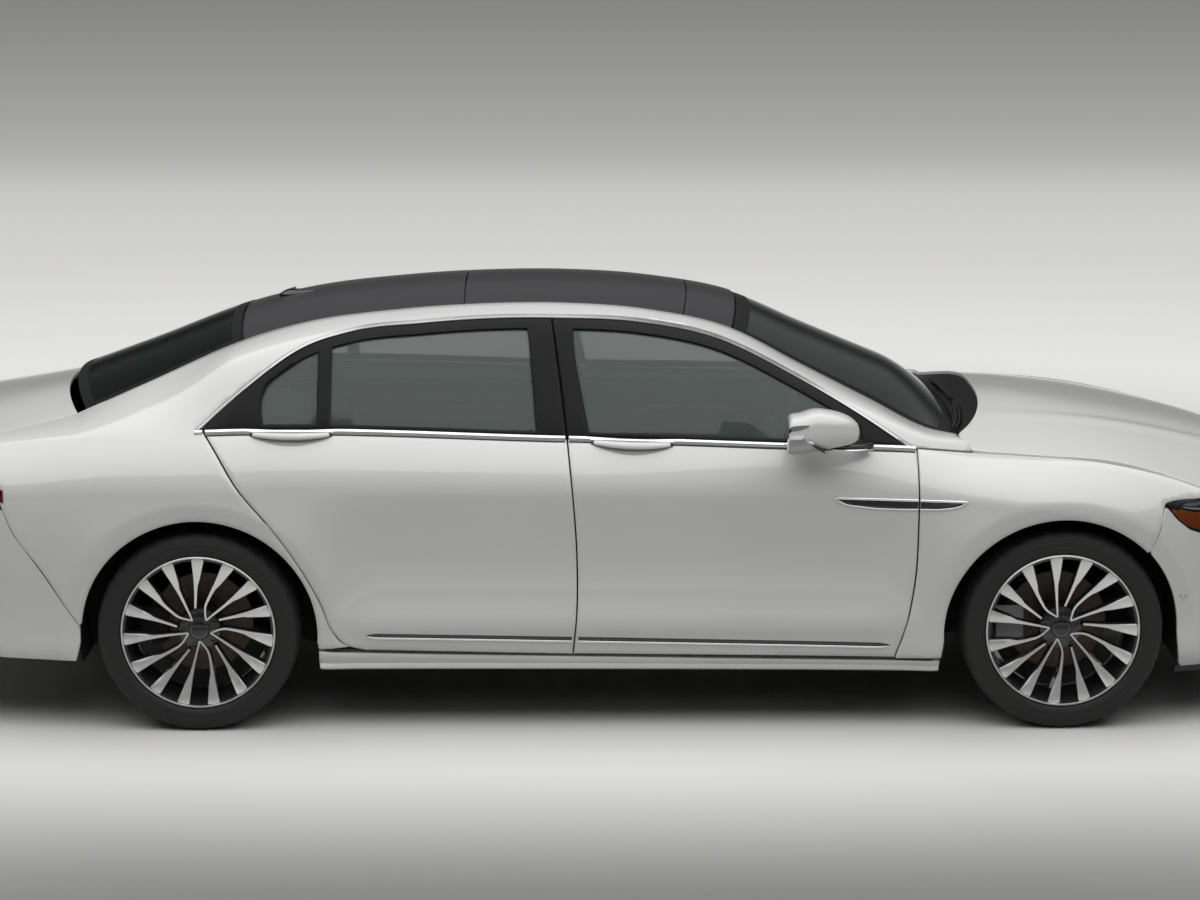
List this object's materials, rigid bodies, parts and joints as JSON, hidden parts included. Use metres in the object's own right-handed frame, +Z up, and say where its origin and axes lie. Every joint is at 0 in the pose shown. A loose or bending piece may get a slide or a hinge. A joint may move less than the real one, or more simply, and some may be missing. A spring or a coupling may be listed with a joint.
{
  "type": "luxury sedan",
  "caption": "Full-size four-door luxury sedan with a dark roof, hinged doors, hood and boot lid, steered front wheels and multi-spoke alloy wheels.",
  "frame": {"origin": "on the ground under the middle of the length and width", "axes": "+X forward, +Y to the car's left, +Z up"},
  "size_m": [5.1135, 2.174, 1.4833],
  "materials": {
    "paint": "pearl white gloss",
    "roof_black": "gloss black roof panel",
    "tinted_glass": "tinted safety glass",
    "lamp_clear": "clear lamp lens over bright reflectors",
    "lamp_red": "deep red lamp lens",
    "chrome": "bright plated",
    "hide": "padded leather",
    "trim": "soft dark trim",
    "black_plastic": "grained black",
    "underbody": "satin black coating",
    "cast_metal": "as cast",
    "steel": "dull steel tube",
    "alloy": "machined faces and black pockets",
    "tyre": "black rubber"
  },
  "bodies": {
    "shell": {"fender_left": "paint", "fender_right": "paint", "quarter_left": "paint", "quarter_right": "paint", "roof_rail_left": "paint", "roof_rail_right": "paint", "sill_left": "paint", "sill_right": "paint", "b_pillar_left": "black_plastic", "b_pillar_right": "black_plastic", "roof": "roof_black", "windscreen": "tinted_glass", "rear_window": "tinted_glass", "front_bumper": "paint", "rear_bumper": "paint", "headlamp_left": "lamp_clear", "headlamp_right": "lamp_clear", "tail_lamp_left": "lamp_red", "tail_lamp_right": "lamp_red", "grille": "chrome", "grille_header": "chrome", "floor_pan": "underbody", "tow_socket": "steel", "firewall": "underbody", "engine": "cast_metal", "front_subframe": "underbody", "rear_axle": "underbody", "exhaust": "steel", "liner_front_left": "black_plastic", "liner_front_right": "black_plastic", "liner_rear_left": "black_plastic", "liner_rear_right": "black_plastic", "dashboard": "trim", "front_seat_left": "hide", "front_seat_right": "hide", "rear_seat": "hide"},
    "hood": {"hood": "paint"},
    "boot": {"boot_lid": "paint"},
    "door_front_left": {"front_door_left": "paint", "front_glass_left": "tinted_glass", "mirror_left": "paint"},
    "door_rear_left": {"rear_door_left": "paint", "rear_glass_left": "tinted_glass"},
    "hub_front_left": {"knuckle_left": "cast_metal"},
    "road_wheel_front_left": {"wheel_front_left": "alloy", "tyre_front_left": "tyre"},
    "road_wheel_rear_left": {"wheel_rear_left": "alloy", "tyre_rear_left": "tyre"},
    "door_front_right": {"front_door_right": "paint", "front_glass_right": "tinted_glass", "mirror_right": "paint"},
    "door_rear_right": {"rear_door_right": "paint", "rear_glass_right": "tinted_glass"},
    "hub_front_right": {"knuckle_right": "cast_metal"},
    "road_wheel_front_right": {"wheel_front_right": "alloy", "tyre_front_right": "tyre"},
    "road_wheel_rear_right": {"wheel_rear_right": "alloy", "tyre_rear_right": "tyre"},
    "steering": {"steering_wheel": "trim"}
  },
  "joints": [
    {"name": "hood_hinge", "type": "hinge", "parent": "shell", "child": "hood", "pos_m": [1.222, 0, 1.008], "axis": [0, -1, 0], "range_deg": [0, 50]},
    {"name": "boot_hinge", "type": "hinge", "parent": "shell", "child": "boot", "pos_m": [-1.874, 0, 1.125], "axis": [0, 1, 0], "range_deg": [0, 75]},
    {"name": "front_door_hinge_left", "type": "hinge", "parent": "shell", "child": "door_front_left", "pos_m": [0.974, 0.932, 0.6], "axis": [0, 0, -1], "range_deg": [0, 65]},
    {"name": "rear_door_hinge_left", "type": "hinge", "parent": "shell", "child": "door_rear_left", "pos_m": [-0.2, 0.929, 0.6], "axis": [0, 0, -1], "range_deg": [0, 65]},
    {"name": "front_door_hinge_right", "type": "hinge", "parent": "shell", "child": "door_front_right", "pos_m": [0.974, -0.932, 0.6], "axis": [0, 0, 1], "range_deg": [0, 65]},
    {"name": "rear_door_hinge_right", "type": "hinge", "parent": "shell", "child": "door_rear_right", "pos_m": [-0.2, -0.929, 0.6], "axis": [0, 0, 1], "range_deg": [0, 65]},
    {"name": "steer_left", "type": "hinge", "parent": "shell", "child": "hub_front_left", "pos_m": [1.568, 0.76, 0.35], "axis": [0, 0, 1], "range_deg": [-35, 35]},
    {"name": "steer_right", "type": "hinge", "parent": "shell", "child": "hub_front_right", "pos_m": [1.568, -0.76, 0.35], "axis": [0, 0, 1], "range_deg": [-35, 35]},
    {"name": "steering_wheel_turn", "type": "hinge", "parent": "shell", "child": "steering", "pos_m": [0.65, 0.38, 0.83], "axis": [-0.9272, 0, 0.3746], "range_deg": [-495, 495]},
    {"name": "spin_front_left", "type": "hinge", "parent": "hub_front_left", "child": "road_wheel_front_left", "pos_m": [1.568, 0.806, 0.35], "axis": [0, 1, 0], "continuous": true},
    {"name": "spin_rear_left", "type": "hinge", "parent": "shell", "child": "road_wheel_rear_left", "pos_m": [-1.426, 0.806, 0.35], "axis": [0, 1, 0], "continuous": true},
    {"name": "spin_front_right", "type": "hinge", "parent": "hub_front_right", "child": "road_wheel_front_right", "pos_m": [1.568, -0.806, 0.35], "axis": [0, 1, 0], "continuous": true},
    {"name": "spin_rear_right", "type": "hinge", "parent": "shell", "child": "road_wheel_rear_right", "pos_m": [-1.426, -0.806, 0.35], "axis": [0, 1, 0], "continuous": true}
  ],
  "couplings": [
    {"joint": "steer_right", "follows": "steer_left", "ratio": 1},
    {"joint": "steering_wheel_turn", "follows": "steer_left", "ratio": 14}
  ]
}
